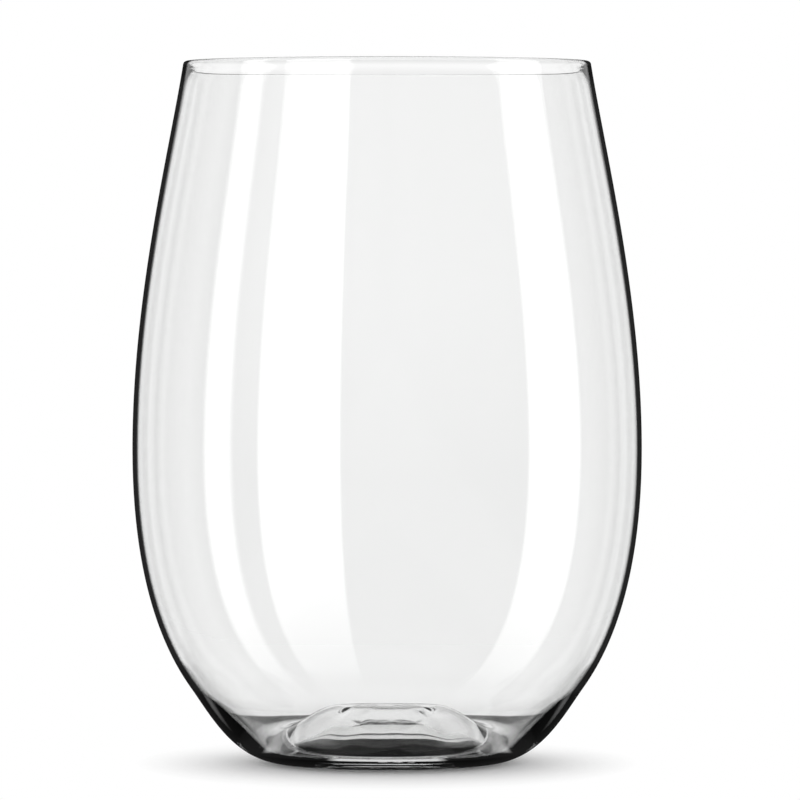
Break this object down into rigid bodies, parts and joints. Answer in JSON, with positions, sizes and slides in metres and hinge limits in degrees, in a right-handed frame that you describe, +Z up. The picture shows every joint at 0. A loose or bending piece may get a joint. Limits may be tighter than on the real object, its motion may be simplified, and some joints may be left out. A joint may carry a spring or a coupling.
{
  "type": "stemless wine glass",
  "caption": "Stemless wine glass: one-piece egg-shaped bowl with a rounded rim, a heel, a raised middle of the floor and a hollowed foot.",
  "frame": {"origin": "centre of the foot ring, on the table", "axes": "+Z up along the axis of the bowl; the glass is round, so X and Y are any two directions across it"},
  "size_m": [0.087, 0.087, 0.1198],
  "materials": {
    "clear_glass": "clear, fire polished"
  },
  "bodies": {
    "root": {"glass_vessel": "clear_glass"}
  },
  "joints": []
}
